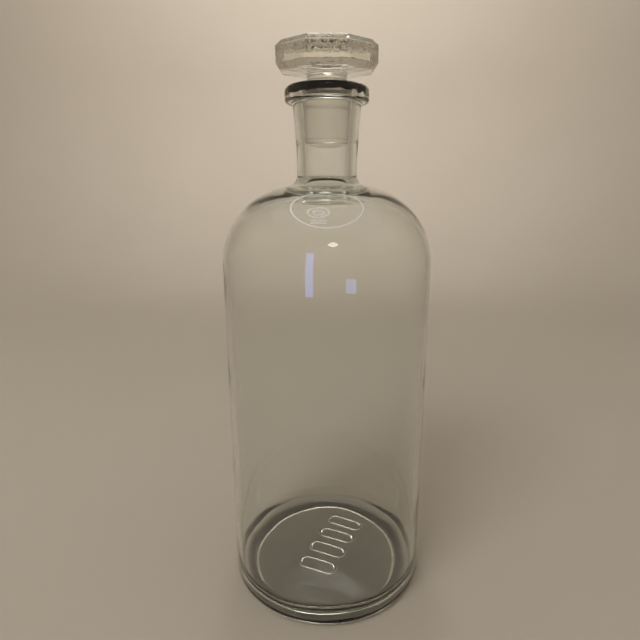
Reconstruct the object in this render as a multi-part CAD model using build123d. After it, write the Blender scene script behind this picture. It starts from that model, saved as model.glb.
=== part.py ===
from build123d import *
from math import acos, cos, sin
import os

# Glass reagent bottle with a ground, tapered neck socket and an octagonal solid glass stopper.
# Two loose pieces: the bottle and its stopper. Millimetres, +Z up. The origin is the centre of the
# ring that the bottle stands on. -Y is the front, and one flat of the stopper's head faces it.

# Body
body_radius = 60.0
wall = 3.0
shoulder_spring_z = 201.7      # height where the straight side turns into the shoulder
shoulder_radius = 43.8         # outer arc of the shoulder
shoulder_inner_radius = 38.5   # smaller than the outer arc less the wall, so the glass thickens upwards

# Base
heel_radius = 5.5              # outer rounding between the side and the standing ring
standing_ring_inner = 48.0     # the bottle stands between this radius and the heel
push_up_step = 4.0             # width of the rounded step up into the hollow base
push_up_depth = 2.6            # height of the hollow base just inside the step
push_up_rise = 0.9             # extra height of the hollow base at the axis
floor_z = 7.0                  # inner floor at the foot of the wall
floor_rise = 1.6               # the inner floor swells this much towards the axis
floor_corner_radius = 9.0      # inner rounding between the wall and the floor

# Neck and collar
neck_radius = 16.8
neck_root_radius = 6.0         # concave rounding between the shoulder and the neck
neck_taper_z = 259.0           # the neck is straight up to here, then widens to the collar
neck_top_radius = 18.7         # outer radius of the neck where it meets the collar
bore_radius = 12.0
bore_root_radius = 8.0         # inner rounding between the bore and the inner shoulder
collar_radius = 22.9
collar_bottom_z = 288.6
rim_z = 296.8
collar_top_rounding = 2.4
collar_bottom_rounding = 1.6

# Ground joint, 27 mm across its large end, with the standard taper of 1 in 10 on the diameter
joint_large_radius = 13.5
joint_taper_on_radius = 0.05   # radius lost for each millimetre of depth
joint_length = 29.6
joint_clearance = 0.05         # radial gap between plug and socket
mouth_chamfer = 0.5

# Stopper
plug_top_z = 297.4
plug_bottom_rounding = 1.2
waist_radius = 11.0
waist_flare_z = 299.8          # the plug narrows to the waist below this height
head_underside_z = 302.9
head_bevel_bottom_z = 304.2    # lower end of the lower bevel
head_facet_bottom_z = 307.1
head_facet_top_z = 315.4
head_top_z = 318.4
head_apothem = 26.6            # axis to a vertical facet
head_top_apothem = 23.1
head_bottom_apothem = 24.6
head_sides = 8
head_lean = 4.0                # degrees that the pressed head sits out of square, down at the front

# Raised marks under the base: a row of plain oval rings
mark_count = 4
mark_length = 27.0
mark_width = 11.5
mark_stroke = 2.8
mark_pitch = 15.7
mark_relief = 1.2
mark_row_centre = (3.5, 7.5)
mark_row_angle = 66.0          # direction of the row, turned about +Z from +X


def outer_profile():
    """Outline from the rim down the outside to the centre of the hollow base."""
    shoulder_centre = body_radius - shoulder_radius
    root_centre_r = neck_radius + neck_root_radius
    reach = shoulder_radius + neck_root_radius
    turn = acos((root_centre_r - shoulder_centre) / reach)
    root_centre_z = shoulder_spring_z + reach * sin(turn)
    shoulder_end = (
        shoulder_centre + shoulder_radius * cos(turn),
        shoulder_spring_z + shoulder_radius * sin(turn),
    )
    rim_edge = (collar_radius - collar_top_rounding, rim_z)
    collar_side_top = (collar_radius, rim_z - collar_top_rounding)
    collar_side_bottom = (collar_radius, collar_bottom_z + collar_bottom_rounding)
    collar_under_edge = (collar_radius - collar_bottom_rounding, collar_bottom_z)
    step_inner = standing_ring_inner - push_up_step
    return [
        Line((joint_large_radius + mouth_chamfer, rim_z), rim_edge),
        RadiusArc(rim_edge, collar_side_top, collar_top_rounding),
        Line(collar_side_top, collar_side_bottom),
        RadiusArc(collar_side_bottom, collar_under_edge, collar_bottom_rounding),
        Line(collar_under_edge, (neck_top_radius, collar_bottom_z)),
        Line((neck_top_radius, collar_bottom_z), (neck_radius, neck_taper_z)),
        Line((neck_radius, neck_taper_z), (neck_radius, root_centre_z)),
        RadiusArc((neck_radius, root_centre_z), shoulder_end, -neck_root_radius),
        RadiusArc(shoulder_end, (body_radius, shoulder_spring_z), shoulder_radius),
        Line((body_radius, shoulder_spring_z), (body_radius, heel_radius)),
        RadiusArc((body_radius, heel_radius), (body_radius - heel_radius, 0), heel_radius),
        Line((body_radius - heel_radius, 0), (standing_ring_inner, 0)),
        Spline((standing_ring_inner, 0), (step_inner, push_up_depth), tangents=[(-1, 1), (-1, 0)]),
        Spline((step_inner, push_up_depth), (0, push_up_depth + push_up_rise), tangents=[(-1, 0), (-1, 0)]),
    ]


def inner_profile():
    """Outline from the centre of the inner floor up the inside to the mouth."""
    inner_radius = body_radius - wall
    shoulder_centre = inner_radius - shoulder_inner_radius
    root_centre_r = bore_radius + bore_root_radius
    reach = shoulder_inner_radius + bore_root_radius
    turn = acos((root_centre_r - shoulder_centre) / reach)
    root_centre_z = shoulder_spring_z + reach * sin(turn)
    shoulder_end = (
        shoulder_centre + shoulder_inner_radius * cos(turn),
        shoulder_spring_z + shoulder_inner_radius * sin(turn),
    )
    corner_z = floor_z + floor_corner_radius
    corner_r = inner_radius - floor_corner_radius
    socket_bottom_z = rim_z - joint_length
    socket_bottom_r = joint_radius_at(socket_bottom_z)
    mouth_z = rim_z - mouth_chamfer
    mouth_r = joint_radius_at(mouth_z)
    return [
        Spline((0, floor_z + floor_rise), (corner_r, floor_z), tangents=[(1, 0), (1, 0)]),
        RadiusArc((corner_r, floor_z), (inner_radius, corner_z), -floor_corner_radius),
        Line((inner_radius, corner_z), (inner_radius, shoulder_spring_z)),
        RadiusArc((inner_radius, shoulder_spring_z), shoulder_end, -shoulder_inner_radius),
        RadiusArc(shoulder_end, (bore_radius, root_centre_z), bore_root_radius),
        Line((bore_radius, root_centre_z), (socket_bottom_r, socket_bottom_z)),
        Line((socket_bottom_r, socket_bottom_z), (mouth_r, mouth_z)),
        Line((mouth_r, mouth_z), (joint_large_radius + mouth_chamfer, rim_z)),
    ]


def joint_radius_at(z):
    """Radius of the ground socket at a height."""
    return joint_large_radius - joint_taper_on_radius * (rim_z - z)


def turned(edges):
    """Solid turned about +Z from a closed outline drawn as (radius, height)."""
    face = make_face(Plane.XZ * Curve(edges))
    return revolve(face, Axis.Z)


def mark_row():
    """Plain oval rings standing down from the hollow base, with their tops inside the glass."""
    outline = SlotOverall(mark_length, mark_width, rotation=90)
    hole = SlotOverall(mark_length - 2 * mark_stroke, mark_width - 2 * mark_stroke, rotation=90)
    ring = extrude(outline - hole, push_up_rise + 2 * mark_relief)
    first = -(mark_count - 1) / 2 * mark_pitch
    row_place = Pos(*mark_row_centre, push_up_depth - mark_relief) * Rot(0, 0, mark_row_angle)
    return [row_place * Pos(first + i * mark_pitch, 0, 0) * ring for i in range(mark_count)]


def bottle():
    """Body, shoulder, neck, collar and ground socket, blown and pressed as one piece of glass."""
    axis_edge = Line((0, push_up_depth + push_up_rise), (0, floor_z + floor_rise))
    blank = turned(outer_profile() + [axis_edge] + inner_profile())
    return blank + mark_row()


def plug_and_waist():
    """Tapered ground plug, and the narrower waist that carries the head."""
    plug_bottom_z = rim_z - joint_length
    bottom_r = joint_radius_at(plug_bottom_z) - joint_clearance
    top_r = joint_radius_at(plug_top_z) - joint_clearance
    edges = [
        Line((0, plug_bottom_z), (bottom_r, plug_bottom_z)),
        Line((bottom_r, plug_bottom_z), (top_r, plug_top_z)),
        Spline((top_r, plug_top_z), (waist_radius, waist_flare_z), tangents=[(0, 1), (0, 1)]),
        Line((waist_radius, waist_flare_z), (waist_radius, head_facet_bottom_z)),
        Line((waist_radius, head_facet_bottom_z), (0, head_facet_bottom_z)),
        Line((0, head_facet_bottom_z), (0, plug_bottom_z)),
    ]
    solid = turned(edges)
    return fillet(solid.edges().filter_by(GeomType.CIRCLE).sort_by(Axis.Z)[0], plug_bottom_rounding)


def octagon(apothem, z):
    """Level octagon with a flat towards -Y."""
    return Pos(0, 0, z) * RegularPolygon(apothem, head_sides, major_radius=False, rotation=180 / head_sides)


def head():
    """Octagonal head with a bevel above and below its vertical facets, leaning to the front."""
    facet_bottom = octagon(head_apothem, head_facet_bottom_z)
    facet_top = octagon(head_apothem, head_facet_top_z)
    facets = extrude(facet_bottom, head_facet_top_z - head_facet_bottom_z)
    upper_bevel = loft([facet_top, octagon(head_top_apothem, head_top_z)])
    lower_bevel = loft([octagon(head_bottom_apothem, head_bevel_bottom_z), facet_bottom])
    underside = Solid.make_cone(
        waist_radius, head_bottom_apothem, head_bevel_bottom_z - head_underside_z,
        plane=Plane((0, 0, head_underside_z)),
    )
    upright = facets + upper_bevel + lower_bevel + underside
    pivot = Pos(0, 0, head_underside_z)
    return pivot * Rot(head_lean, 0, 0) * pivot.inverse() * upright


def stopper():
    """Solid glass stopper: ground plug, waist and octagonal head in one piece."""
    return plug_and_waist() + head()


def main():
    os.makedirs("parts", exist_ok=True)
    export_step(bottle(), "parts/bottle.step")
    export_step(stopper(), "parts/stopper.step")


main()
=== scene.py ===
import bpy
from math import acos, cos, degrees, hypot, pi, radians, sin, tan
from mathutils import Matrix, Vector, noise


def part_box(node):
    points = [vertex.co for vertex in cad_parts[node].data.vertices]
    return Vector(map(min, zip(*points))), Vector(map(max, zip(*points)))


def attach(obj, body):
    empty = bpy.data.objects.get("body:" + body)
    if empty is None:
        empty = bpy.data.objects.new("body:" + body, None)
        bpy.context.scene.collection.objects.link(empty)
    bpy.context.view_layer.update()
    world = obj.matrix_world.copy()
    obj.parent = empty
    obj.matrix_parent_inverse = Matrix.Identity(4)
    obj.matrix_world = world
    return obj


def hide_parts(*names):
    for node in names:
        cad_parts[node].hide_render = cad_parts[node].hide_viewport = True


# Clear glass reagent bottle with a ground octagonal stopper, on a pale sweep in soft studio light.

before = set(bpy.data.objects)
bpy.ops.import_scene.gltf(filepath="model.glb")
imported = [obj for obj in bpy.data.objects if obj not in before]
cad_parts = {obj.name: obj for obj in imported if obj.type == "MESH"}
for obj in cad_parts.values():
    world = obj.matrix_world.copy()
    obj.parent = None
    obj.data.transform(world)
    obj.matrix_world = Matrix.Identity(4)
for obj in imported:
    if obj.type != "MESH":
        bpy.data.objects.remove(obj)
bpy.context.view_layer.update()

MM = 0.001

# Sizes from the frame
bottle_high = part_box("bottle")[1]
stopper_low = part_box("stopper")[0]
body_radius = round(bottle_high[0] / MM, 1)
rim_z = bottle_high[2] / MM
plug_bottom_z = stopper_low[2] / MM

# Body, millimetres
wall = 3.0
shoulder_spring_z = 201.7
shoulder_radius = 43.8
shoulder_inner_radius = 38.5
heel_radius = 5.5
standing_ring_inner = 48.0
push_up_step = 4.0
push_up_depth = 2.6
push_up_rise = 0.9
push_up_top_z = push_up_depth + push_up_rise
floor_z = 7.0
floor_rise = 1.6
floor_corner_radius = 9.0

# Neck and collar
neck_radius = 16.8
neck_root_radius = 6.0
neck_taper_z = 259.0
neck_top_radius = 18.7
bore_radius = 12.0
bore_root_radius = 8.0
collar_radius = 22.9
collar_bottom_z = 288.6
collar_top_rounding = 2.4
collar_bottom_rounding = 1.6
collar_under_rounding = 0.9
mould_seam_z = 268.6
mould_seam_height = 0.25
mould_seam_width = 0.5
joint_large_radius = 13.5
joint_taper_on_radius = 0.05
joint_clearance = 0.05
mouth_chamfer = 0.5

# Unevenness of the blown and pressed glass: height and length of its waves, and where they fade in
step_wave = (1.8, 32.0)
step_wave_reach = 7.0
neck_wave = (0.3, 12.0)
neck_wave_fade = 6.0
wall_wave = (0.22, 38.0)
corner_wave = (1.2, 33.0)
corner_wave_start = 40.0
floor_wave = (0.5, 21.0)
head_wave = (0.14, 1.1)
head_wave_margin = 4.0

# Fineness of the meshes
turned_segments = 384
head_side_segments = 40

# Stopper
plug_top_z = 297.4
plug_bottom_rounding = 1.2
waist_radius = 11.0
waist_flare_z = 299.8
head_underside_z = 302.9
head_bevel_bottom_z = 304.2
head_facet_bottom_z = 307.1
head_facet_top_z = 315.4
head_top_z = 318.4
head_apothem = 26.6
head_top_apothem = 23.1
head_bottom_apothem = 24.6
head_sides = 8
head_lean = radians(4.0)
head_edge_rounding = 0.5
head_corner_softening = 0.02   # as a share of the apothem
head_squaring_width = 2.0      # the round waist turns into the octagon over this much radius

# Raised marks under the base: a row of plain oval rings
mark_count = 4
mark_length = 27.0
mark_width = 11.5
mark_stroke = 2.8
mark_pitch = 15.7
mark_relief = 1.2
mark_row_centre = (3.5, 7.5)
mark_row_angle = radians(66.0)

# Mark etched on the front of the shoulder, measured across and up the curved glass
etch_rise = radians(48.5)
etch_half_width = 17.8
etch_half_height = 11.9
etch_line = 0.55
etch_line_blur = 0.4           # as a share of the line's width
emblem_across = -4.1
emblem_up = -3.0
emblem_half_width = 5.2
emblem_half_height = 3.1
bars_below = 5.6               # from the emblem's middle down to halfway between the bars
bar_spacing = 1.4
bar_length = 8.0
bar_half_height = 0.3
etch_softness = 0.1
etch_skin = 0.8                # deeper than this is the inside of the shoulder
etch_roughness = 0.6

# Finish: how ground the glass is, from 0 for clear to 1 for the plug
plug_finish = 1.0
socket_finish = 0.12
floor_finish = 0.9

# Near-black colour painted on the top of the socket, seen as a dark band across the collar
dark_band_height = 3.6
dark_band_fade = 4.0
dark_band_patchiness = 1.1
dark_band_edge = 0.1
dark_band_colour = (0.004, 0.002, 0.001, 1)

# Surface of the glass: its patterns have so many noise cells to the metre
glass_ior = 1.52
clear_shine = 0.5
grain_scale = 1800.0
wave_scale = 60.0
patch_scale = 260.0
bump_depth = 0.04

# Roughness and frost that the patterns bring, where frost is the share of light that is scattered
smudge_roughness = 0.02
smudge_start = 0.4
smudge_end = 0.8
ground_roughness = 0.1
grain_roughness = 0.2
ground_frost = 0.03
wave_frost = 0.06

# Tint of the surface, colour of the depth, and how strongly a metre of depth takes that colour
bottle_glass = ((0.945, 0.954, 0.944, 1), (0.73, 0.775, 0.685, 1), 18.0)
stopper_glass = ((0.99, 0.985, 0.965, 1), (0.78, 0.765, 0.64, 1), 6.0)

# Pale sweep round the bottle
sweep_floor_radius = 900.0
sweep_wall_radius = 1500.0
sweep_wall_top = 1900.0
sweep_colours = ((0.60, 0.553, 0.485, 1), (0.64, 0.593, 0.525, 1))

# Light: turns are in degrees from the front towards the right, powers in watts
room_colour = (1.0, 0.97, 0.92, 1)
room_strength = 0.3
studio_colour = (1.0, 0.95, 0.88)
lamp_colour = (1.0, 0.93, 0.85)
window_colour = (0.235, 0.36, 1.0)
screen_colour = (0.23, 0.40, 1.0)
wash_spread = radians(80)
washes = (("back_wash", 180, 4.0), ("right_wash", 80, 2.5), ("left_wash", -80, 2.5), ("front_wash", 0, 1.6))

# Camera
camera_distance = 4.831 * body_radius
camera_height = 4.044 * body_radius
camera_pitch = radians(14.12)
camera_lens = 27.83
camera_shift_x = -0.0108
camera_shift_y = -0.0078


# Outlines: lists of (radius, height) in millimetres

def line(start, end, steps=1):
    """Points from start to end, without the last one."""
    return [
        (start[0] + (end[0] - start[0]) * i / steps, start[1] + (end[1] - start[1]) * i / steps)
        for i in range(steps)
    ]


def arc(centre, radius, start, end, steps):
    """Points round a centre from one angle to another, in degrees, without the last one."""
    angles = [radians(start + (end - start) * i / steps) for i in range(steps)]
    return [(centre[0] + radius * cos(a), centre[1] + radius * sin(a)) for a in angles]


def curve(start, start_way, end, end_way, steps):
    """Points on a smooth curve that leaves start and reaches end in given ways, without the last one."""
    reach = hypot(end[0] - start[0], end[1] - start[1])
    ways = [Vector(w).normalized() * reach for w in (start_way, end_way)]
    points = []
    for i in range(steps):
        t = i / steps
        start_share, end_share = 2 * t**3 - 3 * t**2 + 1, 3 * t**2 - 2 * t**3
        start_pull, end_pull = t**3 - 2 * t**2 + t, t**3 - t**2
        p = start_share * Vector(start) + start_pull * ways[0] + end_share * Vector(end) + end_pull * ways[1]
        points.append((p.x, p.y))
    return points


def root_turn(neck_r, root_r, shoulder_centre, shoulder_r):
    """Angle where the shoulder's arc meets the rounding at the neck's root, and the rounding's height."""
    turn = acos((neck_r + root_r - shoulder_centre) / (shoulder_r + root_r))
    return degrees(turn), shoulder_spring_z + (shoulder_r + root_r) * sin(turn)


def joint_radius_at(z):
    """Radius of the ground socket at a height."""
    return joint_large_radius - joint_taper_on_radius * (rim_z - z)


def bottle_outline():
    """Named stretches of the bottle's outline, from under the base, up the outside, and down the inside."""
    step_r = standing_ring_inner - push_up_step
    ring_outer = body_radius - heel_radius
    shoulder_centre = body_radius - shoulder_radius
    turn, root_z = root_turn(neck_radius, neck_root_radius, shoulder_centre, shoulder_radius)
    inner_radius = body_radius - wall
    inner_centre = inner_radius - shoulder_inner_radius
    inner_turn, bore_root_z = root_turn(bore_radius, bore_root_radius, inner_centre, shoulder_inner_radius)
    bore_centre = bore_radius + bore_root_radius
    under_r = neck_top_radius + collar_under_rounding
    under_z = collar_bottom_z - collar_under_rounding
    top_r, top_z = collar_radius - collar_top_rounding, rim_z - collar_top_rounding
    bottom_r, bottom_z = collar_radius - collar_bottom_rounding, collar_bottom_z + collar_bottom_rounding
    mouth_r = joint_large_radius + mouth_chamfer
    corner_r = inner_radius - floor_corner_radius
    corner_z = floor_z + floor_corner_radius
    socket_bottom = (joint_radius_at(plug_bottom_z), plug_bottom_z)
    return [
        ("underside", curve((0, push_up_top_z), (1, 0), (step_r, push_up_depth), (1, 0), 120)),
        ("outside", curve((step_r, push_up_depth), (1, 0), (standing_ring_inner, 0), (1, -1), 12)),
        ("outside", line((standing_ring_inner, 0), (ring_outer, 0), 3)),
        ("outside", arc((ring_outer, heel_radius), heel_radius, -90, 0, 14)),
        ("outside", line((body_radius, heel_radius), (body_radius, shoulder_spring_z), 60)),
        ("outside", arc((shoulder_centre, shoulder_spring_z), shoulder_radius, 0, turn, 60)),
        ("outside", arc((neck_radius + neck_root_radius, root_z), neck_root_radius, 180 + turn, 180, 16)),
        ("outside", line((neck_radius, root_z), (neck_radius, neck_taper_z), 4)),
        ("neck", line((neck_radius, neck_taper_z), (neck_top_radius, under_z), 110)),
        ("neck", arc((under_r, under_z), collar_under_rounding, 180, 90, 6)),
        ("neck", line((under_r, collar_bottom_z), (bottom_r, collar_bottom_z), 1)),
        ("neck", arc((bottom_r, bottom_z), collar_bottom_rounding, -90, 0, 10)),
        ("neck", line((collar_radius, bottom_z), (collar_radius, top_z), 8)),
        ("neck", arc((top_r, top_z), collar_top_rounding, 0, 90, 14)),
        ("outside", line((top_r, rim_z), (mouth_r + mouth_chamfer, rim_z), 3)),
        ("outside", arc((mouth_r + mouth_chamfer, rim_z - mouth_chamfer), mouth_chamfer, 90, 180, 6)),
        ("ground", line((mouth_r, rim_z - mouth_chamfer), socket_bottom, 24)),
        ("inside", line(socket_bottom, (bore_radius, bore_root_z), 8)),
        ("inside", arc((bore_centre, bore_root_z), bore_root_radius, 180, 180 + inner_turn, 16)),
        ("inside", arc((inner_centre, shoulder_spring_z), shoulder_inner_radius, inner_turn, 0, 50)),
        ("inside", line((inner_radius, shoulder_spring_z), (inner_radius, corner_z), 60)),
        ("inside", arc((corner_r, corner_z), floor_corner_radius, 0, -90, 16)),
        ("inside", curve((corner_r, floor_z), (-1, 0), (0, floor_z + floor_rise), (-1, 0), 40)),
        ("inside", [(0, floor_z + floor_rise)]),
    ]


def stopper_outline():
    """Named stretches of the stopper's outline, from under the plug up to the middle of the head."""
    bottom_r = joint_radius_at(plug_bottom_z) - joint_clearance
    rounded_r = bottom_r - plug_bottom_rounding
    rounded_z = plug_bottom_z + plug_bottom_rounding
    top_r = joint_radius_at(plug_top_z) - joint_clearance
    edge = head_edge_rounding
    waist_top = (waist_radius, head_underside_z - 2 * edge)
    corners = [
        waist_top, (waist_radius, head_underside_z), (head_bottom_apothem, head_bevel_bottom_z),
        (head_apothem, head_facet_bottom_z), (head_apothem, head_facet_top_z),
        (head_top_apothem, head_top_z), (0, head_top_z),
    ]
    return [
        ("plug", line((0, plug_bottom_z), (rounded_r, plug_bottom_z), 10)),
        ("plug", arc((rounded_r, rounded_z), plug_bottom_rounding, -90, 0, 8)),
        ("plug", line((bottom_r, rounded_z), (top_r, plug_top_z), 24)),
        ("waist", curve((top_r, plug_top_z), (0, 1), (waist_radius, waist_flare_z), (0, 1), 12)),
        ("waist", line((waist_radius, waist_flare_z), waist_top, 4)),
        ("head", rounded_path(corners, edge)),
    ]


def rounded_path(corners, radius):
    """Straight runs through the corners, each run split finely and each turn rounded by a small curve."""
    points = [corners[0]]
    for before, corner, after in zip(corners, corners[1:], corners[2:]):
        into = (Vector(corner) - Vector(before)).normalized()
        out = (Vector(after) - Vector(corner)).normalized()
        start = Vector(corner) - into * radius
        end = Vector(corner) + out * radius
        points += line(points[-1], tuple(start), 6)[1:]
        points += curve(tuple(start), tuple(into), tuple(end), tuple(out), 6)
        points.append(tuple(end))
    points += line(points[-1], corners[-1], 10)[1:]
    points.append(corners[-1])
    return points


# Meshes

def circle_angles(count):
    """Evenly spaced angles round a full turn."""
    return [2 * pi * i / count for i in range(count)]


def mesh_of_rings(name, rings, finishes):
    """One closed mesh through rings of points, where a ring of one point closes an end.

    Each ring's finish is a pair kept as mesh attributes: how ground the glass is, and its share of the
    painted near-black colour.
    """
    points, ground, dark_band, faces, starts = [], [], [], [], []
    for ring, (ground_here, dark_band_here) in zip(rings, finishes):
        starts.append(len(points))
        points += [tuple(Vector(p) * MM) for p in ring]
        ground += [ground_here] * len(ring)
        dark_band += [dark_band_here] * len(ring)
    for low, high, a, b in zip(rings, rings[1:], starts, starts[1:]):
        count = max(len(low), len(high))
        for i in range(count):
            j = (i + 1) % count
            if len(low) == 1:
                faces.append((a, b + j, b + i))
            elif len(high) == 1:
                faces.append((a + i, a + j, b))
            else:
                faces.append((a + i, a + j, b + j, b + i))
    mesh = bpy.data.meshes.new(name)
    mesh.from_pydata(points, [], faces)
    mesh.polygons.foreach_set("use_smooth", [True] * len(faces))
    for key, values in (("ground", ground), ("dark_band", dark_band)):
        mesh.attributes.new(key, "FLOAT", "POINT").data.foreach_set("value", values)
    mesh.update()
    piece = bpy.data.objects.new(name, mesh)
    bpy.context.scene.collection.objects.link(piece)
    return piece


def smooth(t):
    """0 below 0, 1 above 1, and a soft rise between."""
    t = min(max(t, 0.0), 1.0)
    return t * t * (3 - 2 * t)


def mark_height_at(x, y):
    """Relief of the oval rings under the base at a place."""
    x, y = x - mark_row_centre[0], y - mark_row_centre[1]
    along = x * cos(mark_row_angle) + y * sin(mark_row_angle)
    across = -x * sin(mark_row_angle) + y * cos(mark_row_angle)
    place = along / mark_pitch + (mark_count - 1) / 2
    nearest = min(max(round(place), 0), mark_count - 1)
    offset = (place - nearest) * mark_pitch
    past_middle = max(abs(across) - (mark_length - mark_width) / 2, 0.0)
    from_line = hypot(offset, past_middle) - (mark_width - mark_stroke) / 2
    t = min(abs(from_line) / (mark_stroke / 2), 1.0)
    return mark_relief * (1 - t * t)


def ripple(x, y, z, wave):
    """Soft unevenness of blown and pressed glass."""
    height, length = wave
    return height * noise.noise(Vector((x / length, y / length, z / length)))


def floor_share(z):
    """1 on the inner floor, falling to 0 up its rounded corner."""
    return smooth((floor_z + floor_corner_radius - z) / floor_corner_radius)


def bottle_unevenness(stretch, r, x, y, z):
    """How far the glass stands outwards and upwards of the turned shape at a point."""
    outwards, upwards = 0.0, 0.0
    if z <= push_up_top_z:
        from_step = r - standing_ring_inner + push_up_step / 2
        outwards += ripple(x, y, 0, step_wave) * max(1 - (from_step / step_wave_reach) ** 2, 0.0)
    if stretch == "underside":
        upwards -= mark_height_at(x, y)
    elif stretch == "neck":
        on_neck = smooth((z - neck_taper_z) / neck_wave_fade) * smooth((rim_z - z) / collar_top_rounding)
        outwards += ripple(x, y, z, neck_wave) * on_neck
        outwards += mould_seam_height * smooth(1 - abs(z - mould_seam_z) / mould_seam_width)
    elif stretch == "inside":
        upwards += ripple(x, y, 0, floor_wave) * floor_share(z)
        outwards += ripple(x, y, z, wall_wave)
        outwards += ripple(x, y, z, corner_wave) * floor_share(z) * smooth(r / corner_wave_start)
    return outwards, upwards


def bottle_finish(stretch, z):
    """How ground the glass is at a height, and its share of the painted near-black colour."""
    if stretch == "ground":
        # Share of painted near-black colour on the socket's top, fading out downwards
        dark_band = (z - rim_z + dark_band_height) / dark_band_fade + 0.5
        return socket_finish, min(max(dark_band, 0.0), 1.0)
    if stretch == "inside":
        return floor_finish * floor_share(z), 0.0
    return 0.0, 0.0


def bottle_mesh():
    """Bottle as one closed skin: outside, mouth, ground socket and inside."""
    angles = circle_angles(turned_segments)
    rings, finishes = [], []
    for stretch, points in bottle_outline():
        for r, z in points:
            ring = []
            for a in angles if r > 0 else angles[:1]:
                outwards, upwards = bottle_unevenness(stretch, r, r * cos(a), r * sin(a), z)
                reach = r + outwards if r > 0 else 0.0
                ring.append((reach * cos(a), reach * sin(a), z + upwards))
            rings.append(ring)
            finishes.append(bottle_finish(stretch, z))
    return mesh_of_rings("bottle_glass_body", rings, finishes)


def octagon_ring():
    """Angle and radius of an octagon of apothem 1 with softened corners, a flat towards -Y.

    Near a corner the flat bends away by a curve that starts at the softening distance from it.
    """
    half = pi / head_sides
    ring = []
    for side in range(head_sides):
        middle = 2 * pi * side / head_sides
        for i in range(head_side_segments):
            a = -half + 2 * half * i / head_side_segments
            near_corner = tan(half) - abs(tan(a))
            cut = max(head_corner_softening - near_corner, 0.0) ** 2 / (4 * head_corner_softening)
            ring.append((middle + a, 1 / cos(a) - cut))
    return ring


def squareness_at(r, z):
    """0 where the stopper is round, 1 where it is octagonal."""
    if z > head_bevel_bottom_z:
        return 1.0
    return smooth((r - waist_radius) / head_squaring_width)


def stopper_mesh():
    """Stopper as one closed skin, round up to the waist and octagonal above it."""
    ring_shape = octagon_ring()
    rings, finishes = [], []
    for stretch, points in stopper_outline():
        for r, z in points:
            squareness = squareness_at(r, z) if stretch == "head" else 0.0
            wave_share = smooth((r - waist_radius - head_wave_margin) / head_wave_margin)
            lean = head_lean * smooth((z - waist_flare_z) / (head_underside_z - waist_flare_z))
            turn = Matrix.Rotation(lean, 3, "X")
            ring = []
            for a, bulge in ring_shape if r > 0 else ring_shape[:1]:
                reach = r * (1 + (bulge - 1) * squareness)
                if stretch == "head":
                    reach += ripple(r * cos(a), r * sin(a), z, head_wave) * wave_share
                p = turn @ Vector((reach * cos(a), reach * sin(a), z - head_underside_z))
                ring.append((p.x, p.y, p.z + head_underside_z))
            rings.append(ring)
            is_ground = stretch == "plug" and z > plug_bottom_z
            finishes.append((plug_finish if is_ground else 0.0, 0.0))
    return mesh_of_rings("stopper_glass_body", rings, finishes)


# Materials

def node_maker(material):
    """Function that adds a node to a material.

    An input is given as a plain value, as another node, or as one output of a node. Of a node that is
    given whole, the first output in use is linked.
    """
    material.use_nodes = True
    tree = material.node_tree
    tree.nodes.clear()

    def make(kind, inputs, **settings):
        """One node of a kind, with its inputs filled and its settings made."""
        node = tree.nodes.new(kind)
        for key, value in settings.items():
            setattr(node, key, value)
        for key, value in inputs.items():
            if isinstance(value, bpy.types.Node):
                value = next(output for output in value.outputs if output.enabled)
            if isinstance(value, bpy.types.NodeSocket):
                tree.links.new(value, node.inputs[key])
            else:
                node.inputs[key].default_value = value
        return node

    return make


def calculate(make, operation, *values):
    """One step of arithmetic on plain values or nodes."""
    return make("ShaderNodeMath", dict(enumerate(values)), operation=operation)


def fade(make, value, start, end):
    """1 where the value is below start, falling to 0 at end."""
    return make("ShaderNodeMapRange", {
        "Value": value, "From Min": start, "From Max": end, "To Min": 1.0, "To Max": 0.0})


def oval_distance(make, across, up, half_width, half_height):
    """Distance from the middle of an oval, where 1 is its outline."""
    square_across = calculate(make, "POWER", calculate(make, "DIVIDE", across, half_width), 2.0)
    square_up = calculate(make, "POWER", calculate(make, "DIVIDE", up, half_height), 2.0)
    return calculate(make, "SQRT", calculate(make, "ADD", square_across, square_up))


def oval_line(make, across, up, half_width, half_height, line_width):
    """Mask of a thin oval outline."""
    distance = oval_distance(make, across, up, half_width, half_height)
    off_line = calculate(make, "ABSOLUTE", calculate(make, "SUBTRACT", distance, 1.0))
    share = line_width / half_width
    return fade(make, off_line, (1 - etch_line_blur) * share, (1 + etch_line_blur) * share)


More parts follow.
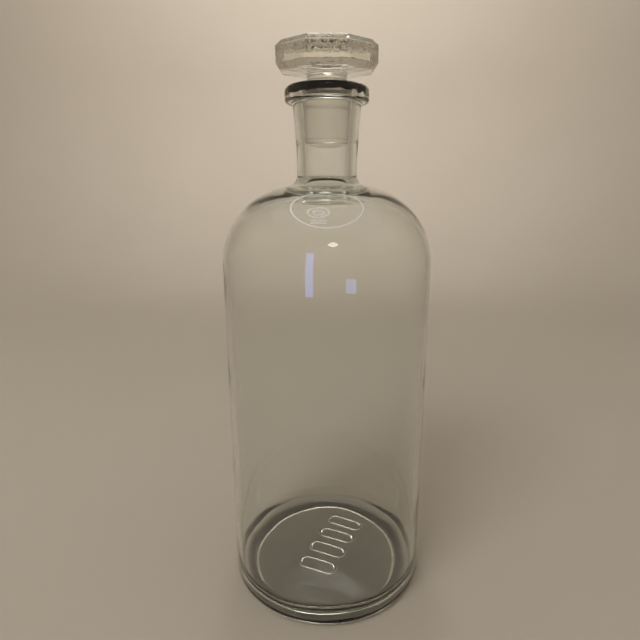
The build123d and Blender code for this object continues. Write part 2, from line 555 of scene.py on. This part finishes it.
def etched_mark(make):
    """Mask of a thin etched oval on the front of the shoulder, with a smaller oval and two bars in it."""
    place = make("ShaderNodeTexCoord", {})
    split = make("ShaderNodeSeparateXYZ", {"Vector": place.outputs["Object"]})
    x, y, z = split.outputs
    square_radius = calculate(make, "ADD", calculate(make, "POWER", x, 2.0), calculate(make, "POWER", y, 2.0))
    radius = calculate(make, "SQRT", square_radius)
    outwards = calculate(make, "SUBTRACT", radius, (body_radius - shoulder_radius) * MM)
    upwards = calculate(make, "SUBTRACT", z, shoulder_spring_z * MM)
    rise = calculate(make, "ARCTAN2", upwards, outwards)
    up = calculate(make, "MULTIPLY", calculate(make, "SUBTRACT", rise, etch_rise), shoulder_radius)
    across = calculate(make, "MULTIPLY", x, 1 / MM)
    border = oval_line(make, across, up, etch_half_width, etch_half_height, etch_line)
    emblem_x = calculate(make, "SUBTRACT", across, emblem_across)
    emblem_y = calculate(make, "SUBTRACT", up, emblem_up)
    emblem = oval_line(make, emblem_x, emblem_y, emblem_half_width, emblem_half_height, etch_line)
    dot = oval_line(make, emblem_x, emblem_y, emblem_half_width / 2, emblem_half_height / 2, etch_line)
    from_bars = calculate(make, "ABSOLUTE", calculate(make, "ADD", emblem_y, bars_below))
    from_bar = calculate(make, "ABSOLUTE", calculate(make, "SUBTRACT", from_bars, bar_spacing / 2))
    bar_sides = fade(make, from_bar, bar_half_height - etch_softness, bar_half_height + etch_softness)
    along_bar = calculate(make, "ABSOLUTE", emblem_x)
    bar_ends = fade(make, along_bar, bar_length / 2 - 2 * etch_softness, bar_length / 2)
    bars = calculate(make, "MULTIPLY", bar_sides, bar_ends)
    ovals = calculate(make, "MAXIMUM", border, emblem)
    everything = calculate(make, "MAXIMUM", ovals, calculate(make, "MAXIMUM", dot, bars))
    skin_radius = (shoulder_radius - etch_skin) * MM
    from_centre = oval_distance(make, outwards, upwards, skin_radius, skin_radius)
    on_outside = calculate(make, "GREATER_THAN", from_centre, 1.0)
    in_front = calculate(make, "LESS_THAN", y, 0.0)
    return calculate(make, "MULTIPLY", everything, calculate(make, "MULTIPLY", on_outside, in_front))


def glass(name, tint, depth_colour, depth_strength, with_mark):
    """Clear glass with faint ripples and a coloured depth, ground, and painted near-black where the mesh says
    so.
    """
    material = bpy.data.materials.new(name)
    make = node_maker(material)
    place = make("ShaderNodeTexCoord", {}).outputs["Object"]
    ground = make("ShaderNodeAttribute", {}, attribute_name="ground").outputs["Fac"]
    dark_band_share = make("ShaderNodeAttribute", {}, attribute_name="dark_band").outputs["Fac"]
    grains = make("ShaderNodeTexNoise", {"Vector": place, "Scale": grain_scale, "Detail": 3.0})
    waves = make("ShaderNodeTexNoise", {"Vector": place, "Scale": wave_scale, "Detail": 2.0})
    patches = make("ShaderNodeTexNoise", {"Vector": place, "Scale": patch_scale, "Detail": 2.0})
    # Near-black colour painted on the top of the socket with patchy edges; it also takes the shine away there
    dark_band = make("ShaderNodeMapRange", {
        "Value": calculate(make, "MULTIPLY_ADD", patches, dark_band_patchiness, dark_band_share),
        "From Min": 1.0, "From Max": 1.0 + dark_band_edge, "To Min": 0.0, "To Max": 1.0})

    smudges = make("ShaderNodeMapRange", {
        "Value": waves, "From Min": smudge_start, "From Max": smudge_end,
        "To Min": 0.0, "To Max": smudge_roughness})
    grain = calculate(make, "MULTIPLY_ADD", grains, grain_roughness, ground_roughness)
    roughness = calculate(make, "ADD", smudges, calculate(make, "MULTIPLY", ground, grain))
    frost = calculate(make, "MULTIPLY_ADD", waves, wave_frost, ground_frost)
    covered = calculate(make, "MAXIMUM", dark_band, calculate(make, "MULTIPLY", ground, frost))
    if with_mark:
        mark = etched_mark(make)
        covered = calculate(make, "MAXIMUM", covered, mark)
        roughness = calculate(make, "MAXIMUM", roughness, calculate(make, "MULTIPLY", mark, etch_roughness))

    colour = make("ShaderNodeMix", {"Factor": dark_band, "A": tint, "B": dark_band_colour}, data_type="RGBA")
    height = calculate(make, "MULTIPLY_ADD", grains, ground, waves)
    bump = make("ShaderNodeBump", {"Height": height, "Strength": 1.0, "Distance": bump_depth * MM})
    shader = make("ShaderNodeBsdfPrincipled", {
        "Base Color": colour,
        "Roughness": roughness,
        "IOR": glass_ior,
        "Specular IOR Level": calculate(make, "MULTIPLY_ADD", dark_band, -clear_shine, clear_shine),
        "Transmission Weight": calculate(make, "SUBTRACT", 1.0, covered),
        "Normal": bump,
    })
    depth = make("ShaderNodeVolumeAbsorption", {"Color": depth_colour, "Density": depth_strength})
    make("ShaderNodeOutputMaterial", {"Surface": shader, "Volume": depth})
    return material


def sweep_paint():
    """Matt pale paint of the sweep that the bottle stands on."""
    material = bpy.data.materials.new("pale_sweep")
    make = node_maker(material)
    place = make("ShaderNodeTexCoord", {}).outputs["Object"]
    mottle = make("ShaderNodeTexNoise", {"Vector": place, "Scale": 4.0, "Detail": 2.0})
    dark_paint, light_paint = sweep_colours
    colour = make("ShaderNodeMix", {"Factor": mottle, "A": dark_paint, "B": light_paint}, data_type="RGBA")
    shader = make("ShaderNodeBsdfPrincipled", {
        "Base Color": colour, "Roughness": 0.8, "Specular IOR Level": 0.0})
    make("ShaderNodeOutputMaterial", {"Surface": shader})
    return material


# Stage

def sweep_bowl():
    """Round floor that curves up into a wall on all sides."""
    curve_radius = sweep_wall_radius - sweep_floor_radius
    outline = line((0, 0), (sweep_floor_radius, 0), 6)
    outline += arc((sweep_floor_radius, curve_radius), curve_radius, -90, 0, 24)
    outline += line((sweep_wall_radius, curve_radius), (sweep_wall_radius, sweep_wall_top), 4)
    outline.append((sweep_wall_radius, sweep_wall_top))
    angles = circle_angles(96)
    rings = [[(r * cos(a), r * sin(a), z) for a in (angles if r > 0 else angles[:1])] for r, z in outline]
    bowl = mesh_of_rings("pale_sweep", rings, [(0.0, 0.0)] * len(rings))
    bowl.data.materials.append(sweep_paint())


def area_light(name, place, target, size, power, colour, shape="RECTANGLE"):
    """Soft light at a place, aimed at a target, in metres and watts. The camera doesn't see its shape."""
    data = bpy.data.lights.new(name, "AREA")
    data.shape = shape
    data.size, data.size_y = size
    data.energy = power
    data.color = colour
    lamp = bpy.data.objects.new(name, data)
    lamp.location = place
    lamp.rotation_euler = (Vector(target) - Vector(place)).to_track_quat("-Z", "Y").to_euler()
    lamp.visible_camera = False
    bpy.context.scene.collection.objects.link(lamp)
    return lamp


def around(turn, distance, height):
    """Place on a circle about the bottle, turned from the front towards the right, in metres."""
    return (distance * sin(radians(turn)), -distance * cos(radians(turn)), height)


def wash_lights():
    """Lights high over the bottle that brighten the sweep's wall all round."""
    lights = []
    for name, turn, power in washes:
        light = area_light(
            name, around(turn, 0.25, 1.75), around(turn, 1.45, 0.85),
            size=(0.9, 0.35), power=power, colour=studio_colour)
        light.data.spread = wash_spread
        lights.append(light)
    return lights


def highlight_lights():
    """Small lights that show only as marks mirrored in the shoulder and the side of the glass."""
    window_turn, window_height = -13.2, 0.2122
    screen_turn, screen_height = 24, 0.063
    shoulder = (0, 0, shoulder_spring_z * MM)
    lights = [
        area_light(
            "window", around(window_turn, 0.12, window_height), around(window_turn, 0, window_height),
            size=(0.0126, 0.0635), power=0.0155, colour=window_colour),
        area_light(
            "screen", around(screen_turn, 0.8, screen_height), around(screen_turn, 0, screen_height),
            size=(0.145, 0.04), power=0.09, colour=screen_colour),
        area_light(
            "lamp", around(7, 0.8, 0.79), shoulder,
            size=(0.17, 0.10), power=0.4, colour=lamp_colour, shape="ELLIPSE"),
    ]
    for light in lights:
        light.visible_transmission = False
        light.visible_diffuse = False


def studio():
    """Pale sweep, a dim even glow from all round, a main light from the front left and one from behind."""
    sweep_bowl()
    world = bpy.data.worlds.new("studio")
    bpy.context.scene.world = world
    world.use_nodes = True
    background = world.node_tree.nodes["Background"]
    background.inputs["Color"].default_value = room_colour
    background.inputs["Strength"].default_value = room_strength
    wash = wash_lights()
    key = area_light(
        "key", around(-35, 1.1, 1.3), (0.05, 0.1, 0.1),
        size=(0.7, 0.7), power=7, colour=studio_colour)
    for light in wash + [key]:
        light.visible_glossy = False
        light.visible_transmission = False
    area_light(
        "back_key", around(-176, 0.95, 1.35), (0.0, 0.0, 0.1),
        size=(0.35, 0.35), power=1.6, colour=studio_colour, shape="ELLIPSE")
    highlight_lights()


def camera():
    """Camera close in front of the bottle, a little above its shoulder, looking slightly down."""
    data = bpy.data.cameras.new("camera")
    data.lens = camera_lens
    data.sensor_width = 36.0
    data.shift_x = camera_shift_x
    data.shift_y = camera_shift_y
    eye = bpy.data.objects.new("camera", data)
    eye.location = (0, -camera_distance * MM, camera_height * MM)
    eye.rotation_euler = (pi / 2 - camera_pitch, 0, 0)
    bpy.context.scene.collection.objects.link(eye)
    bpy.context.scene.camera = eye


def main():
    """Bottle and stopper in the studio, with enough bounces for light to pass many glass surfaces."""
    body = bottle_mesh()
    body.data.materials.append(glass("bottle_glass_clear", *bottle_glass, with_mark=True))
    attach(body, "bottle")
    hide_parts("bottle")
    plug = stopper_mesh()
    plug.data.materials.append(glass("stopper_glass_clear", *stopper_glass, with_mark=False))
    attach(plug, "stopper")
    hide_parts("stopper")
    studio()
    camera()
    scene = bpy.context.scene
    scene.view_settings.view_transform = "Standard"
    scene.cycles.max_bounces = 32
    scene.cycles.transmission_bounces = 28
    scene.cycles.glossy_bounces = 12


main()
